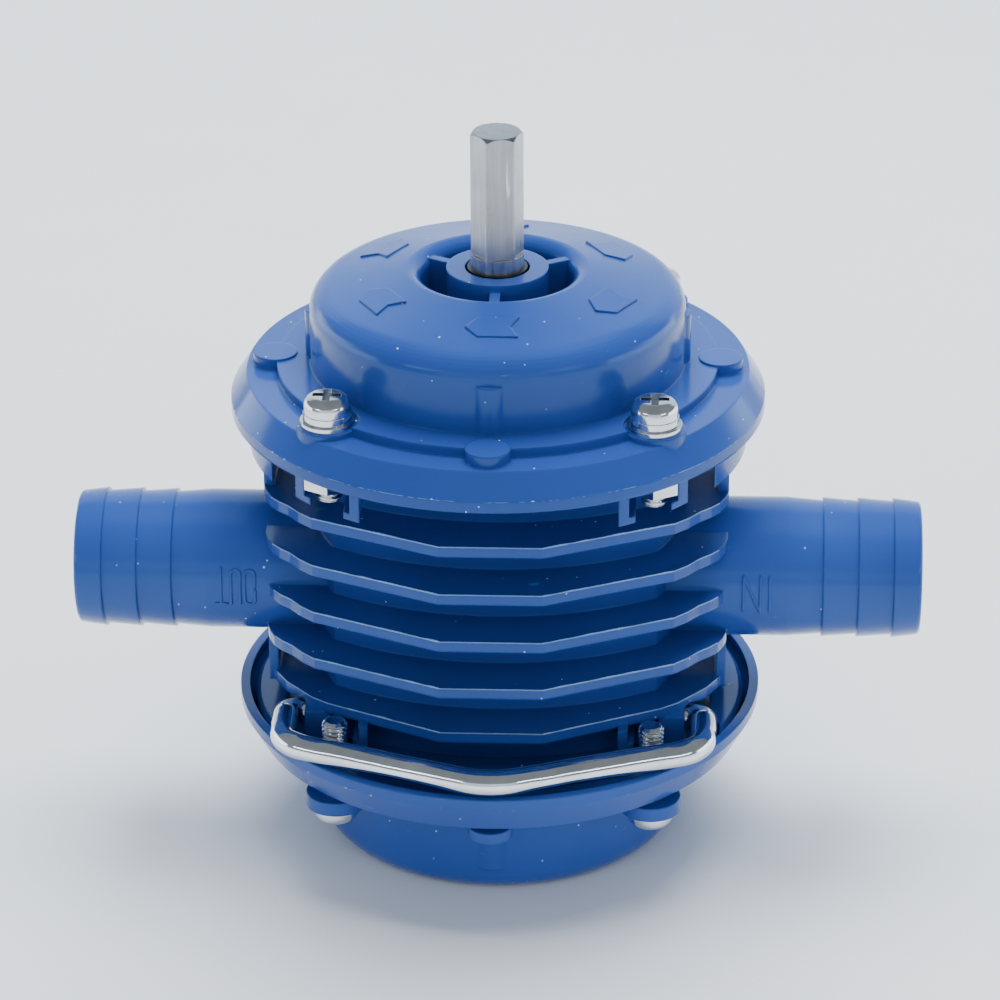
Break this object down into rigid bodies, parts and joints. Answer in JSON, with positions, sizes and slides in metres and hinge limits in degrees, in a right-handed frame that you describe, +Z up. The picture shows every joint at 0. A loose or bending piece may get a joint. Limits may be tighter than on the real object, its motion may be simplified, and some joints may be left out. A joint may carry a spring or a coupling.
{
  "type": "hand-drill water pump",
  "caption": "Drill-driven water pump: finned body between two round bolted covers, a barbed hose end on each side, a hex drive shank on top and a small wire bail in front.",
  "frame": {"origin": "centre of the flat bottom face of the lower cover, on the axis of the drive shaft", "axes": "+Z up along the drive shaft towards its six-sided shank; +X along the hose axis towards the inlet end; -Y towards the wire bail, which is the front in the picture"},
  "size_m": [0.13, 0.0814, 0.1141],
  "materials": {
    "blue_plastic": "glossy injection-moulded blue plastic",
    "ground_steel": "turned and milled steel, scratched by the chuck",
    "dark_steel": "dark blackened steel",
    "zinc_plate": "bright zinc plating",
    "nickel_wire": "bright nickel-plated wire with small dents",
    "bearing_steel": "polished bearing steel",
    "black_rubber": "matt black rubber",
    "bronze": "oiled sintered bronze",
    "white_plastic": "matt white plastic"
  },
  "bodies": {
    "housing": {"pump_body": "blue_plastic", "top_cover": "blue_plastic", "bottom_cover": "blue_plastic", "top_gasket": "black_rubber", "bottom_gasket": "black_rubber", "wear_plate": "bearing_steel", "bearing_outer_ring": "bearing_steel", "bearing_balls": "bearing_steel", "bearing_shields": "bearing_steel", "shaft_seal": "black_rubber", "seal_spring": "bearing_steel", "lower_bush": "bronze", "top_screws": "zinc_plate", "top_spring_washers": "zinc_plate", "top_flat_washers": "zinc_plate", "top_nuts": "zinc_plate", "bottom_screws": "zinc_plate", "bottom_nuts": "zinc_plate"},
    "rotor": {"drive_shaft": "ground_steel", "spacer_sleeve": "dark_steel", "bearing_inner_ring": "bearing_steel", "retaining_ring": "dark_steel", "impeller": "white_plastic", "drive_pin": "bearing_steel", "impeller_washer": "zinc_plate", "impeller_nut": "zinc_plate"},
    "bail": {"wire_handle": "nickel_wire"}
  },
  "joints": [
    {"name": "rotor_spin", "type": "hinge", "parent": "housing", "child": "rotor", "pos_m": [0, 0, 0.0773], "axis": [0, 0, -1], "continuous": true},
    {"name": "bail_swing", "type": "hinge", "parent": "housing", "child": "bail", "pos_m": [0, -0.0152, 0.0244], "axis": [-1, 0, 0], "range_deg": [0, 40]}
  ]
}
